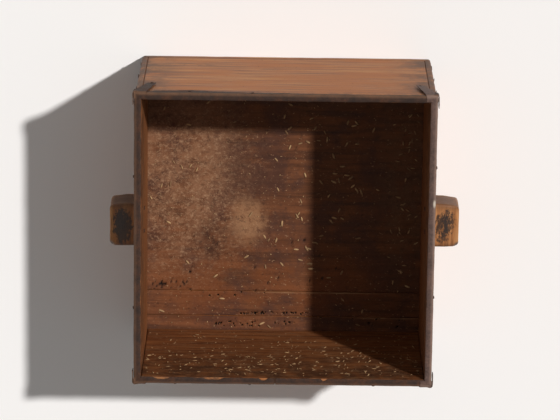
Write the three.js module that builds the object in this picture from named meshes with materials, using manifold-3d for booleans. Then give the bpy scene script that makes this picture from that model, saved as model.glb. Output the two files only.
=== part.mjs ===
// A square wooden grain measure that holds one full mal, about 18 litres.
// Four thin boards are nailed at the corners over a planked bottom. Folded sheet iron guards the mouth,
// and a whittled block on each side is the handle. It stands mouth up: +Z is up, the front board faces -Y,
// and the origin is the middle of the underside. Everything is in millimetres.
import * as THREE from "three";
import { mergeVertices } from "three/addons/utils/BufferGeometryUtils.js";
import Module from "manifold-3d";

const wasm = await Module();
wasm.setup();

// Driving dimensions
const innerSide = 312; // 312 x 312 x 185 is 18.0 litres
const innerDepth = 185;
const boardThickness = 7;
const bottomThickness = 9;
const ironThickness = 0.8;
const gap = 0.2; // left between pieces that touch
const jointGap = 0.3; // left between planks and round a nail

// Places worked out from them
const innerHalf = innerSide / 2;
const outerHalf = innerHalf + boardThickness;
const rimHeight = bottomThickness + innerDepth; // top of the wood
const ironTop = rimHeight + gap + ironThickness;
const ironOuter = outerHalf + gap + ironThickness; // outer face of the first layer of iron
const lapInner = ironOuter + gap; // inner face of the second layer
const lapOuter = lapInner + ironThickness;
const boardMiddle = innerHalf + boardThickness / 2;

// Corners that hands and sacks have worn round
const wornCorner = 3.5;
const wornFoot = 6;

// Seams of the planked bottom, as distances from the middle towards the back board
const wideSeam = 110;
const narrowSeam = 139.5;

const wood = (colour) =>
  new THREE.MeshStandardMaterial({ color: colour, roughness: 0.72, metalness: 0 });
const iron = (colour) =>
  new THREE.MeshStandardMaterial({ color: colour, roughness: 0.6, metalness: 0.7 });
const materials = {
  board: wood(0x9a6b4b),
  plank: wood(0x6f452f),
  handle: wood(0xa9713f),
  rim: iron(0x4e3a31),
  nail: iron(0x3a2d27),
};

// Solids

function solidOf(geometry) {
  const bare = geometry.clone();
  bare.deleteAttribute("normal");
  bare.deleteAttribute("uv");
  const merged = mergeVertices(bare, 1e-4);
  return new wasm.Manifold(
    new wasm.Mesh({
      numProp: 3,
      vertProperties: merged.attributes.position.array,
      triVerts: new Uint32Array(merged.index.array),
    }),
  );
}

function geometryOf(solid) {
  const mesh = solid.getMesh();
  const geometry = new THREE.BufferGeometry();
  geometry.setAttribute("position", new THREE.BufferAttribute(mesh.vertProperties, 3));
  geometry.setIndex(new THREE.BufferAttribute(mesh.triVerts, 1));
  const faceted = geometry.toNonIndexed();
  faceted.computeVertexNormals();
  return faceted;
}

const join = (solids) => solids.reduce((sum, solid) => sum.add(solid));
const cut = (solid, tools) => tools.reduce((rest, tool) => rest.subtract(tool), solid);

// A box between two opposite corners.
function block(low, high) {
  const size = high.map((value, axis) => value - low[axis]);
  const geometry = new THREE.BoxGeometry(...size);
  geometry.translate(...low.map((value, axis) => value + size[axis] / 2));
  return solidOf(geometry);
}

// A plan outline raised from one height to another.
function raised(outline, bottom, top) {
  const geometry = new THREE.ExtrudeGeometry(outline, {
    depth: top - bottom,
    bevelEnabled: false,
    curveSegments: 5,
  });
  geometry.translate(0, 0, bottom);
  return solidOf(geometry);
}

// An outline in X and Z given a thickness along Y.
function upright(outline, near, far) {
  const geometry = new THREE.ExtrudeGeometry(outline, {
    depth: far - near,
    bevelEnabled: false,
    curveSegments: 5,
  });
  geometry.rotateX(Math.PI / 2);
  geometry.translate(0, far, 0);
  return solidOf(geometry);
}

// A rectangle whose four corners have their own radii, counter-clockwise from low x and low y.
function roundedRectangle(x0, y0, x1, y1, [r0, r1, r2, r3]) {
  const shape = new THREE.Shape();
  shape.moveTo(x0 + r0, y0);
  shape.lineTo(x1 - r1, y0);
  if (r1) shape.absarc(x1 - r1, y0 + r1, r1, -Math.PI / 2, 0);
  shape.lineTo(x1, y1 - r2);
  if (r2) shape.absarc(x1 - r2, y1 - r2, r2, 0, Math.PI / 2);
  shape.lineTo(x0 + r3, y1);
  if (r3) shape.absarc(x0 + r3, y1 - r3, r3, Math.PI / 2, Math.PI);
  shape.lineTo(x0, y0 + r0);
  if (r0) shape.absarc(x0 + r0, y0 + r0, r0, Math.PI, 1.5 * Math.PI);
  return shape;
}

// Forged nails: a square tapered shank under a faceted head. Each kind has its sizes here.
const nailKinds = {
  joint: { length: 30, shank: 1.5, head: 3.2, rise: 1.1 },
  floor: { length: 30, shank: 1.5, head: 3.0, rise: 1.0 },
  grip: { length: 26, shank: 1.5, head: 3.0, rise: 0.9 },
  tack: { length: 6.2, shank: 0.9, head: 2.0, rise: 0.8 },
};

function nailSolid({ length, shank, head, rise }) {
  const profile = [
    [0, 0],
    [head, 0],
    [head * 0.9, rise * 0.55],
    [head * 0.4, rise],
    [0, rise],
  ];
  const cap = new THREE.LatheGeometry(
    profile.map(([radius, height]) => new THREE.Vector2(radius, height)),
    8,
  );
  cap.rotateX(Math.PI / 2);
  const stem = new THREE.CylinderGeometry(shank, shank * 0.35, length, 4);
  stem.rotateX(Math.PI / 2);
  stem.translate(0, 0, -length / 2 + rise / 4);
  return solidOf(cap).add(solidOf(stem));
}

// The square hole that a nail needs, with a sunk seat where its head lies in the wood.
function nailHole({ length, shank, head, rise }, sunk) {
  const side = shank + jointGap * Math.SQRT2;
  const depth = length + jointGap;
  const bore = new THREE.CylinderGeometry(side, side, depth + 3, 4);
  bore.rotateX(Math.PI / 2);
  bore.translate(0, 0, 1.5 - depth / 2);
  if (!sunk) return solidOf(bore);
  const seat = new THREE.CylinderGeometry(head + jointGap, head + jointGap, 2 * rise, 8);
  seat.rotateX(Math.PI / 2);
  seat.translate(0, 0, rise - jointGap);
  return solidOf(bore).add(solidOf(seat));
}

const outward = new THREE.Vector3(0, 0, 1);
const nails = [];

// Notes a nail whose head sits at a place and faces one way, and is driven the other way.
function drive(name, kind, place, facing, sunk = false) {
  const turn = new THREE.Quaternion().setFromUnitVectors(outward, facing);
  nails.push({ name, kind: nailKinds[kind], place: new THREE.Vector3(...place), turn, sunk });
}

// The holes of all nails whose names start with one of these words.
function holesFor(...words) {
  return nails
    .filter(({ name }) => words.some((word) => name.startsWith(word)))
    .map(({ kind, place, turn, sunk }) => {
      const matrix = new THREE.Matrix4().compose(place, turn, new THREE.Vector3(1, 1, 1));
      return nailHole(kind, sunk).transform(matrix.toArray());
    });
}

const facing = {
  right: new THREE.Vector3(1, 0, 0),
  left: new THREE.Vector3(-1, 0, 0),
  back: new THREE.Vector3(0, 1, 0),
  front: new THREE.Vector3(0, -1, 0),
  down: new THREE.Vector3(0, 0, -1),
};
const sides = [
  ["right", 1],
  ["left", -1],
];
const ends = [
  ["front", -1],
  ["back", 1],
];

// Where the nails go

const jointNailHeights = [32, 96, 158];
const floorNailReach = 118; // along the front and back boards
const floorNailRows = [-92, 18, 125]; // along the side boards: two in the wide plank, one in the middle one
const gripNailReach = 13;
const gripNailHeight = 113;

for (const [side, sx] of sides) {
  for (const [end, sy] of ends)
    jointNailHeights.forEach((height, i) =>
      drive(
        `joint_nail_${end}_${side}_${i + 1}`,
        "joint",
        [sx * (outerHalf + gap), sy * boardMiddle, height],
        facing[side],
      ),
    );
  floorNailRows.forEach((row, i) =>
    drive(`floor_nail_${side}_${i + 1}`, "floor", [sx * boardMiddle, row, 1.2], facing.down, true),
  );
}
for (const [end, sy] of ends)
  [-1, 0, 1].forEach((step, i) =>
    drive(
      `floor_nail_${end}_${i + 1}`,
      "floor",
      [step * floorNailReach, sy * boardMiddle, 1.2],
      facing.down,
      true,
    ),
  );

// The handles were set by eye, so neither is quite in the middle.
const handleMiddle = { right: -1, left: -4 };
for (const [side, sx] of sides)
  [-1, 1].forEach((step, i) =>
    drive(
      `handle_nail_${side}_${i + 1}`,
      "grip",
      [sx * (innerHalf - gap), handleMiddle[side] + step * gripNailReach, gripNailHeight],
      facing[side === "right" ? "left" : "right"],
    ),
  );

// Tacks through the iron. A tongue and a tab have one each, and the folded edges a few.
const tongueTack = { fromSide: 19, belowRim: 44 };
const tabTack = { fromEnd: 12.5, belowRim: 8.4 };
const tackSeat = lapOuter + gap;
const edgeSeat = ironOuter + gap;
for (const [side, sx] of sides)
  for (const [end, sy] of ends) {
    drive(
      `tongue_tack_${end}_${side}`,
      "tack",
      [sx * (lapOuter - tongueTack.fromSide), sy * tackSeat, ironTop - tongueTack.belowRim],
      facing[end],
    );
    drive(
      `tab_tack_${end}_${side}`,
      "tack",
      [sx * tackSeat, sy * (lapOuter - tabTack.fromEnd), ironTop - tabTack.belowRim],
      facing[side],
    );
  }
const edgeTacks = {
  front: [
    [104, 8.5],
    [36, 4.2],
  ],
  back: [
    [-100, 4],
    [36, 4],
    [118, 4],
  ],
  right: [
    [-70, 3.4],
    [78, 3.4],
  ],
  left: [
    [-84, 3.4],
    [62, 3.4],
  ],
};
for (const [edge, tacks] of Object.entries(edgeTacks))
  tacks.forEach(([along, belowRim], i) => {
    const height = ironTop - belowRim;
    const across = facing[edge].clone().multiplyScalar(edgeSeat);
    const place = across.x ? [across.x, along, height] : [along, across.y, height];
    drive(`edge_tack_${edge}_${i + 1}`, "tack", place, facing[edge]);
  });

// Boards

// A side board runs the full depth, and its end grain shows on the front and the back.
function sideBoard(side, sx) {
  const plan = roundedRectangle(
    Math.min(sx * innerHalf, sx * outerHalf),
    -outerHalf,
    Math.max(sx * innerHalf, sx * outerHalf),
    outerHalf,
    sx > 0 ? [0, wornCorner, wornCorner, 0] : [wornCorner, 0, 0, wornCorner],
  );
  return cut(
    raised(plan, bottomThickness + gap, rimHeight),
    holesFor(
      `joint_nail_front_${side}`,
      `joint_nail_back_${side}`,
      `floor_nail_${side}`,
      `handle_nail_${side}`,
      `tab_tack_front_${side}`,
      `tab_tack_back_${side}`,
      `edge_tack_${side}`,
    ),
  );
}

// The front and back boards are held between the side boards.
function endBoard(end, sy) {
  const reach = innerHalf - gap;
  const near = sy * innerHalf;
  const far = sy * outerHalf;
  return cut(
    block(
      [-reach, Math.min(near, far), bottomThickness + gap],
      [reach, Math.max(near, far), rimHeight],
    ),
    holesFor(
      `joint_nail_${end}`,
      `floor_nail_${end}`,
      `tongue_tack_${end}`,
      `edge_tack_${end}`,
    ),
  );
}

// Three planks with tight seams, nailed up into the boards.
const planks = [
  ["bottom_plank_wide", -outerHalf, wideSeam - jointGap / 2, [wornFoot, wornFoot, 0, 0]],
  ["bottom_plank_middle", wideSeam + jointGap / 2, narrowSeam - jointGap / 2, [0, 0, 0, 0]],
  ["bottom_plank_narrow", narrowSeam + jointGap / 2, outerHalf, [0, 0, wornFoot, wornFoot]],
];

function plank(from, to, corners) {
  const plan = roundedRectangle(-outerHalf, from, outerHalf, to, corners);
  return cut(raised(plan, 0, bottomThickness), holesFor("floor_nail"));
}

// Handles

const handle = {
  length: 49,
  reach: 30,
  bottom: 92,
  top: 135,
  bevel: 2.5,
  outerCorner: 5,
  taper: 2.2, // what the knife took off the front cheek towards the outer end
  cornerCut: 8,
};

// A whittled block. Its edges are eased, and the corner over the back cheek is cut off.
function handleBlock(side, sx) {
  const { length, reach, bottom, top, bevel, outerCorner, taper, cornerCut } = handle;
  const half = length / 2;
  const wall = outerHalf + gap;
  const tip = wall + reach;
  const plan = new THREE.Shape();
  plan.moveTo(wall - 8, -half);
  plan.lineTo(wall + reach * 0.45, -half);
  plan.lineTo(tip - outerCorner, taper - half);
  plan.quadraticCurveTo(tip, taper - half, tip, taper - half + outerCorner);
  plan.lineTo(tip, half - outerCorner);
  plan.quadraticCurveTo(tip, half, tip - outerCorner, half);
  plan.lineTo(wall - 8, half);
  plan.closePath();
  const geometry = new THREE.ExtrudeGeometry(plan, {
    depth: top - bottom - 2 * bevel,
    bevelThickness: bevel,
    bevelSize: bevel,
    bevelOffset: -bevel,
    bevelSegments: 3,
    curveSegments: 4,
  });
  geometry.translate(0, 0, bottom + bevel);
  const corner = new THREE.BoxGeometry(60, 60, 60);
  corner.translate(0, 0, 30);
  corner.applyQuaternion(
    new THREE.Quaternion().setFromUnitVectors(outward, new THREE.Vector3(1, 1, 1).normalize()),
  );
  corner.translate(tip - cornerCut, half, top);
  const buried = block([wall - 20, -length, 0], [wall, length, rimHeight]);
  const whittled = cut(solidOf(geometry), [solidOf(corner), buried]);
  const placed =
    sx > 0
      ? whittled.translate([0, handleMiddle[side], 0])
      : whittled.mirror([1, 0, 0]).translate([0, handleMiddle[side], 0]);
  return cut(placed, holesFor(`handle_nail_${side}`));
}

// Rim iron

// Corner folds, as distances in from the outer face of the iron and down from its top.
const tongue = {
  inner: [
    [13.4, 0],
    [22.9, 45],
  ],
  outer: [
    [14.2, 47],
    [0, 9.5],
  ],
};
const tab = { length: 15.5, top: 1.3, bottom: 12.4 };
const sideFlange = 5.4;

// The iron of a side edge: a flat strip with a short turned-down flange outside. At each end it widens,
// folds over the corner and runs down the face of the next board as a slanting tongue.
function sideIron(side, sx) {
  const inner = innerHalf + gap;
  const foot = lapOuter - tongue.inner[0][0];
  const flat = new THREE.Shape();
  flat.moveTo(ironOuter, -lapOuter);
  flat.lineTo(ironOuter, lapOuter);
  flat.lineTo(foot, lapOuter);
  flat.lineTo(foot, innerHalf);
  flat.lineTo(inner, innerHalf);
  flat.lineTo(inner, -innerHalf);
  flat.lineTo(foot, -innerHalf);
  flat.lineTo(foot, -lapOuter);
  flat.closePath();
  const fold = new THREE.Shape();
  [...tongue.inner, ...tongue.outer, [0, 0]].forEach(([inward, down], i) => {
    const x = lapOuter - inward - (inward ? 0 : ironThickness + gap);
    if (i) fold.lineTo(x, ironTop - down);
    else fold.moveTo(x, ironTop - down);
  });
  fold.closePath();
  const flange = block(
    [outerHalf + gap, -outerHalf + jointGap, ironTop - sideFlange],
    [ironOuter, outerHalf - jointGap, ironTop - ironThickness / 2],
  );
  const whole = join([
    raised(flat, rimHeight + gap, ironTop),
    upright(fold, lapInner, lapOuter),
    upright(fold, -lapOuter, -lapInner),
    flange,
  ]);
  return cut(
    sx > 0 ? whole : whole.mirror([1, 0, 0]),
    holesFor(`tongue_tack_front_${side}`, `tongue_tack_back_${side}`, `edge_tack_${side}`),
  );
}

// The iron of the front or back edge: a flat strip and a flange cut by hand to an uneven height.
// A tab at a corner wraps over the iron of the side board.
function endIron({ end, sy, from, to, width, flange, tabs }) {
  const foot = lapOuter - tongue.inner[0][0] - jointGap;
  const top = rimHeight - gap;
  const strip = block(
    [Math.max(from, -foot), -ironOuter, rimHeight + gap],
    [Math.min(to, foot), width - ironOuter, ironTop],
  );
  const outline = new THREE.Shape();
  const reachFrom = from < -innerHalf ? -lapOuter : from;
  const reachTo = to > innerHalf ? lapOuter : to;
  outline.moveTo(reachFrom, top);
  outline.lineTo(reachFrom, ironTop - flange[0][1]);
  flange.forEach(([x, drop]) => outline.lineTo(x, ironTop - drop));
  outline.lineTo(reachTo, ironTop - flange.at(-1)[1]);
  outline.lineTo(reachTo, top);
  outline.closePath();
  const web = block(
    [Math.max(from, -foot), -ironOuter, top - 1],
    [Math.min(to, foot), -outerHalf - gap, ironTop],
  );
  const wraps = tabs.map((sx) => {
    const x = [sx * lapInner, sx * lapOuter].sort((a, b) => a - b);
    return block(
      [x[0], -ironOuter, ironTop - tab.bottom],
      [x[1], tab.length - lapOuter, ironTop - tab.top],
    );
  });
  const whole = join([strip, web, upright(outline, -ironOuter, -outerHalf - gap), ...wraps]);
  return cut(
    sy < 0 ? whole : whole.mirror([0, 1, 0]),
    holesFor(`edge_tack_${end}`, `tongue_tack_${end}`, `tab_tack_${end}`),
  );
}

const cornerDrop = tab.bottom; // the flange is as deep as the tab where it turns the corner
const frontFlange = [
  [-158, cornerDrop],
  [-150, 5],
  [-110, 3.6],
  [-69, 3.6],
  [-4, 6.5],
  [39, 7.5],
  [82, 11.5],
  [104, 15.5],
  [126, 13.4],
  [150, 9.5],
  [158, cornerDrop],
];
const backJoint = 8; // where the two strips of the back edge meet
const backFlangeLeft = [
  [-158, cornerDrop],
  [-149, 7],
  [-60, 6.2],
  [backJoint - jointGap, 7.4],
];
const backFlangeRight = [
  [backJoint + jointGap, 6.6],
  [70, 7.6],
  [149, 6.8],
  [158, cornerDrop],
];

// Assembly

const measure = new THREE.Group();

function place(name, solid, material) {
  const mesh = new THREE.Mesh(geometryOf(solid), material);
  mesh.name = name;
  measure.add(mesh);
}

for (const [side, sx] of sides) {
  place(`side_board_${side}`, sideBoard(side, sx), materials.board);
  place(`handle_${side}`, handleBlock(side, sx), materials.handle);
  place(`rim_iron_${side}`, sideIron(side, sx), materials.rim);
}
place("front_board", endBoard("front", -1), materials.board);
place("back_board", endBoard("back", 1), materials.board);
for (const [name, from, to, corners] of planks)
  place(name, plank(from, to, corners), materials.plank);
place(
  "rim_iron_front",
  endIron({
    end: "front",
    sy: -1,
    from: -lapOuter,
    to: lapOuter,
    width: boardThickness + ironThickness,
    flange: frontFlange,
    tabs: [-1, 1],
  }),
  materials.rim,
);
place(
  "rim_iron_back_left",
  endIron({
    end: "back",
    sy: 1,
    from: -lapOuter,
    to: backJoint - jointGap,
    width: boardThickness + ironThickness,
    flange: backFlangeLeft,
    tabs: [-1],
  }),
  materials.rim,
);
place(
  "rim_iron_back_right",
  endIron({
    end: "back",
    sy: 1,
    from: backJoint + jointGap,
    to: lapOuter,
    width: boardThickness - 0.8,
    flange: backFlangeRight,
    tabs: [1],
  }),
  materials.rim,
);

for (const { name, kind, place: spot, turn } of nails) {
  const mesh = new THREE.Mesh(geometryOf(nailSolid(kind)), materials.nail);
  mesh.name = name;
  mesh.position.copy(spot);
  mesh.quaternion.copy(turn);
  measure.add(mesh);
}

export default measure;
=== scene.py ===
# A square wooden grain measure: handled pine, rusted sheet iron, forged nails and stray rice husks
import math
import random

import bmesh
import bpy
import numpy as np
from mathutils import Matrix, Vector, noise


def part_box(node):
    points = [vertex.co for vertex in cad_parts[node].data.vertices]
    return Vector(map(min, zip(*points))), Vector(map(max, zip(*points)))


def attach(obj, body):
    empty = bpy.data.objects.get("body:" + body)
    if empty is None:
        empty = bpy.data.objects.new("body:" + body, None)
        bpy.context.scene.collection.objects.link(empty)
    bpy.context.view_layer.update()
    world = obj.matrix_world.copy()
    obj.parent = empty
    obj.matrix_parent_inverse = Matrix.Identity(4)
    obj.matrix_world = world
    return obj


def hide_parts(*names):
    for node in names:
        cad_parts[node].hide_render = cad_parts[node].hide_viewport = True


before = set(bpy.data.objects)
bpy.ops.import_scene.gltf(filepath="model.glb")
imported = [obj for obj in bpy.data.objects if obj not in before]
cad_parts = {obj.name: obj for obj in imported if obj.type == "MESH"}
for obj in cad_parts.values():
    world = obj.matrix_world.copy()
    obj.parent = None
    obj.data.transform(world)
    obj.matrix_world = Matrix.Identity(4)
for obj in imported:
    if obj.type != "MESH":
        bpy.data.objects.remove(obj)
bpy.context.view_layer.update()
mm = 0.001

# The measure's own sizes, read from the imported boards
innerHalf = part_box("side_board_right")[0].x
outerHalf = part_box("side_board_right")[1].x
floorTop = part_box("bottom_plank_wide")[1].z
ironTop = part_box("rim_iron_right")[1].z
sideNames = {"right": 1, "left": -1}
endNames = {"front": -1, "back": 1}


# Camera, lamp and floor

cameraView = {
    "lens": 224.3,
    "pitch": 14.645,  # degrees off looking straight down into the mouth
    "roll": -0.725,
    "distance": 3.9871,  # metres, as are the two shifts of the view
    "right": 0.00526,
    "up": 0.01504,
}
keyLamp = {"towards": (-0.69, -0.42, 1.0), "strength": 3.0, "softness": 2.6}
surroundings = {"fill": 0.22, "floorSize": 14, "floorColour": "#F9F6F3", "floorDrop": 0.2 * mm}


def linear(hexColour):
    parts = [int(hexColour[i : i + 2], 16) / 255 for i in (1, 3, 5)]
    return [c / 12.92 if c <= 0.04045 else ((c + 0.055) / 1.055) ** 2.4 for c in parts] + [1.0]


def add(tree, kind, inputs=None, **settings):  # one node with its settings, values and links
    node = tree.nodes.new(kind)
    for name, value in settings.items():
        setattr(node, name, value)
    for key, value in (inputs or {}).items():
        if isinstance(value, bpy.types.NodeSocket):
            tree.links.new(value, node.inputs[key])
        else:
            node.inputs[key].default_value = value
    return node


def link(obj):
    bpy.context.scene.collection.objects.link(obj)
    return obj


def makeCamera():
    pitch = math.radians(cameraView["pitch"])
    roll = math.radians(cameraView["roll"])
    right = Vector((-math.cos(roll), math.sin(roll) * math.cos(pitch), math.sin(roll) * math.sin(pitch)))
    up = Vector((-math.sin(roll), -math.cos(roll) * math.cos(pitch), -math.cos(roll) * math.sin(pitch)))
    back = Vector((0, -math.sin(pitch), math.cos(pitch)))
    place = cameraView["distance"] * back - cameraView["right"] * right - cameraView["up"] * up
    lens = bpy.data.cameras.new("camera")
    lens.lens = cameraView["lens"]
    camera = link(bpy.data.objects.new("camera", lens))
    camera.matrix_world = Matrix.Translation(place) @ Matrix((right, up, back)).transposed().to_4x4()
    bpy.context.scene.camera = camera


def makeStage():
    lamp = bpy.data.lights.new("key_lamp", "SUN")
    lamp.energy = keyLamp["strength"]
    lamp.angle = math.radians(keyLamp["softness"])
    key = link(bpy.data.objects.new("key_lamp", lamp))
    key.rotation_euler = Vector(keyLamp["towards"]).to_track_quat("Z", "Y").to_euler()

    world = bpy.data.worlds.new("studio")
    bpy.context.scene.world = world
    world.use_nodes = True
    tree = world.node_tree
    tree.nodes.clear()
    ray = add(tree, "ShaderNodeLightPath")
    seen = add(
        tree,
        "ShaderNodeMath",
        {0: ray.outputs["Is Camera Ray"], 1: ray.outputs["Is Glossy Ray"]},
        operation="MAXIMUM",
    )
    seen = add(
        tree,
        "ShaderNodeMath",
        {0: seen.outputs[0], 1: ray.outputs["Is Transmission Ray"]},
        operation="MAXIMUM",
    )
    strength = add(
        tree,
        "ShaderNodeMapRange",
        {"Value": seen.outputs[0], "To Min": surroundings["fill"], "To Max": 1.0},
    )
    light = add(
        tree,
        "ShaderNodeBackground",
        {"Color": (1, 1, 1, 1), "Strength": strength.outputs["Result"]},
    )
    add(tree, "ShaderNodeOutputWorld", {"Surface": light.outputs[0]})

    half = surroundings["floorSize"] / 2
    mesh = bpy.data.meshes.new("pale_floor")
    under = -surroundings["floorDrop"]
    corners = [(-half, -half, under), (half, -half, under), (half, half, under), (-half, half, under)]
    mesh.from_pydata(corners, [], [(0, 1, 2, 3)])
    floor = link(bpy.data.objects.new("pale_floor", mesh))
    # Matt white plaster scatters its light evenly, so the floor shows nothing but the shadow
    paint = bpy.data.materials.new("matt_white_plaster")
    paint.use_nodes = True
    shader = paint.node_tree.nodes["Principled BSDF"]
    shader.inputs["Base Color"].default_value = linear(surroundings["floorColour"])
    shader.inputs["Roughness"].default_value = 0.9
    mesh.materials.append(paint)


makeCamera()
makeStage()
bpy.context.scene.view_settings.view_transform = "Standard"
print("camera, lamp and floor are set")


# Finishes


def startMaterial(name):
    material = bpy.data.materials.new(name)
    material.use_nodes = True
    tree = material.node_tree
    place = add(tree, "ShaderNodeTexCoord").outputs["Object"]
    return material, tree, tree.nodes["Principled BSDF"], place


def grainScale(grain, lengthMm, widthMm):  # repeats per metre, long along the grain axis
    return [1000 / (lengthMm if axis == grain else widthMm) for axis in "xyz"]


swingGain = 2.5  # texture noise strays little from its middle, so its swing is stretched


def softOval(tree, place, centre, reach, wander=0):
    # 1 in the middle of an oval of these half-widths, fading to 0 at its outline, which wanders if asked
    if wander:
        drift = add(tree, "ShaderNodeTexNoise", {"Vector": place, "Scale": 1 / wander, "Detail": 5.0})
        swing = add(
            tree,
            "ShaderNodeVectorMath",
            {0: drift.outputs["Color"], 1: (0.5, 0.5, 0.5)},
            operation="SUBTRACT",
        )
        swing = add(
            tree,
            "ShaderNodeVectorMath",
            {0: swing.outputs[0], "Scale": wander * swingGain},
            operation="SCALE",
        )
        place = add(
            tree,
            "ShaderNodeVectorMath",
            {0: place, 1: swing.outputs[0]},
            operation="ADD",
        ).outputs[0]
    offset = add(tree, "ShaderNodeVectorMath", {0: place, 1: centre}, operation="SUBTRACT")
    scaled = add(
        tree,
        "ShaderNodeVectorMath",
        {0: offset.outputs[0], 1: [1 / r for r in reach]},
        operation="MULTIPLY",
    )
    far = add(tree, "ShaderNodeVectorMath", {0: scaled.outputs[0]}, operation="LENGTH")
    return add(
        tree,
        "ShaderNodeMapRange",
        {"Value": far.outputs["Value"], "From Min": 0.25, "From Max": 1.0, "To Min": 1.0, "To Max": 0.0},
        interpolation_type="SMOOTHSTEP",
    ).outputs["Result"]


# painted shade: the near black put into the worm holes for the shade inside them
wormHoleShade = "#0B0604"
poreMm = (34, 1.3)  # length and width; the real grain is finer than this, too fine to show


# Old pine, hand planed: long streaks of late wood, blotches of dirt and dust, fine open grain
def agedPine(name, look):
    material, tree, shader, place = startMaterial(name)
    grain = look["grain"]
    streaks = add(
        tree,
        "ShaderNodeMapping",
        {"Vector": place, "Scale": grainScale(grain, *look["streakMm"])},
    ).outputs[0]
    pores = add(
        tree,
        "ShaderNodeMapping",
        {"Vector": place, "Scale": grainScale(grain, *poreMm)},
    ).outputs[0]
    broad = add(
        tree,
        "ShaderNodeTexNoise",
        {
            "Vector": streaks,
            "Scale": 1.0,
            "Detail": 4.0,
            "Roughness": 0.6,
            "Distortion": 0.35,
        },
    ).outputs["Fac"]
    fine = add(
        tree,
        "ShaderNodeTexNoise",
        {
            "Vector": pores,
            "Scale": 1.0,
            "Detail": 3.0,
            "Roughness": 0.7,
        },
    ).outputs["Fac"]
    ramp = add(tree, "ShaderNodeValToRGB", {"Fac": broad})
    ramp.color_ramp.elements[0].position = 0.32
    ramp.color_ramp.elements[0].color = linear(look["deep"])
    ramp.color_ramp.elements[1].position = 0.68
    ramp.color_ramp.elements[1].color = linear(look["pale"])
    middle = ramp.color_ramp.elements.new(0.5)
    middle.color = linear(look["mid"])
    colour = ramp.outputs["Color"]
    fineShade = add(
        tree,
        "ShaderNodeMapRange",
        {
            "Value": fine,
            "From Min": 0.3,
            "From Max": 0.7,
            "To Min": look["fine"][0],
            "To Max": look["fine"][1],
        },
    ).outputs["Result"]
    colour = add(
        tree,
        "ShaderNodeVectorMath",
        {0: colour, "Scale": fineShade},
        operation="SCALE",
    ).outputs[0]

    # Each layer is a colour that noise lays over the wood, everywhere, within an oval or along a band
    for layer in look["layers"]:
        long = layer["sizeMm"] * layer.get("drawn", 1)
        spread = add(
            tree,
            "ShaderNodeMapping",
            {"Vector": place, "Scale": grainScale(grain, long, layer["sizeMm"])},
        ).outputs[0]
        patch = add(
            tree,
            "ShaderNodeTexNoise",
            {"Vector": spread, "Scale": 1.0, "Detail": 6.0, "Roughness": layer.get("rough", 0.62)},
        ).outputs["Fac"]
        if "centre" in layer:
            oval = softOval(tree, place, layer["centre"], layer["reach"], layer.get("wander", 0))
        if "ragged" in layer:  # the noise itself breaks up the outline
            patch = add(tree, "ShaderNodeMath", {0: patch, 1: oval}, operation="MULTIPLY").outputs[0]
        cover = add(
            tree,
            "ShaderNodeMapRange",
            {
                "Value": patch,
                "From Min": layer["from"],
                "From Max": layer["from"] + layer["soft"],
                "To Max": layer["most"],
            },
            interpolation_type="SMOOTHSTEP",
        ).outputs["Result"]
        if "centre" in layer and "ragged" not in layer:
            cover = add(tree, "ShaderNodeMath", {0: cover, 1: oval}, operation="MULTIPLY").outputs[0]
        if "band" in layer:  # between two values along one axis, both ways from the middle if mirrored
            axis, start, full, mirrored = layer["band"]
            value = add(tree, "ShaderNodeSeparateXYZ", {0: place}).outputs["xyz".index(axis)]
            if mirrored:
                value = add(tree, "ShaderNodeMath", {0: value}, operation="ABSOLUTE").outputs[0]
            band = add(
                tree,
                "ShaderNodeMapRange",
                {"Value": value, "From Min": start, "From Max": full},
                interpolation_type="SMOOTHSTEP",
            ).outputs["Result"]
            cover = add(tree, "ShaderNodeMath", {0: cover, 1: band}, operation="MULTIPLY").outputs[0]
        colour = add(
            tree,
            "ShaderNodeMix",
            {0: cover, 6: colour, 7: linear(layer["colour"])},
            data_type="RGBA",
        ).outputs[2]

    # painted shade inside the worm holes
    pitShade = add(tree, "ShaderNodeAttribute", attribute_name="pitShade").outputs["Fac"]
    colour = add(
        tree,
        "ShaderNodeMix",
        {0: pitShade, 6: colour, 7: linear(wormHoleShade)},
        data_type="RGBA",
    ).outputs[2]
    tree.links.new(colour, shader.inputs["Base Color"])
    rough = add(
        tree,
        "ShaderNodeMapRange",
        {"Value": broad, "To Min": look["rough"] - 0.08, "To Max": look["rough"] + 0.12},
    ).outputs["Result"]
    tree.links.new(rough, shader.inputs["Roughness"])
    shader.inputs["Specular IOR Level"].default_value = look["sheen"]
    relief = add(tree, "ShaderNodeMath", {0: broad, 1: fine}, operation="ADD").outputs[0]
    bump = add(
        tree,
        "ShaderNodeBump",
        {"Height": relief, "Strength": 0.5, "Distance": 0.35 * mm},
    )
    tree.links.new(bump.outputs[0], shader.inputs["Normal"])
    return material


# how far the paler fold reaches: rubbed iron with a painted highlight on it
rubbedAndLitEdge = {"inward": 3 * mm, "outward": 0.6 * mm, "from": 5 * mm, "to": 1 * mm}  # about the fold
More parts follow.
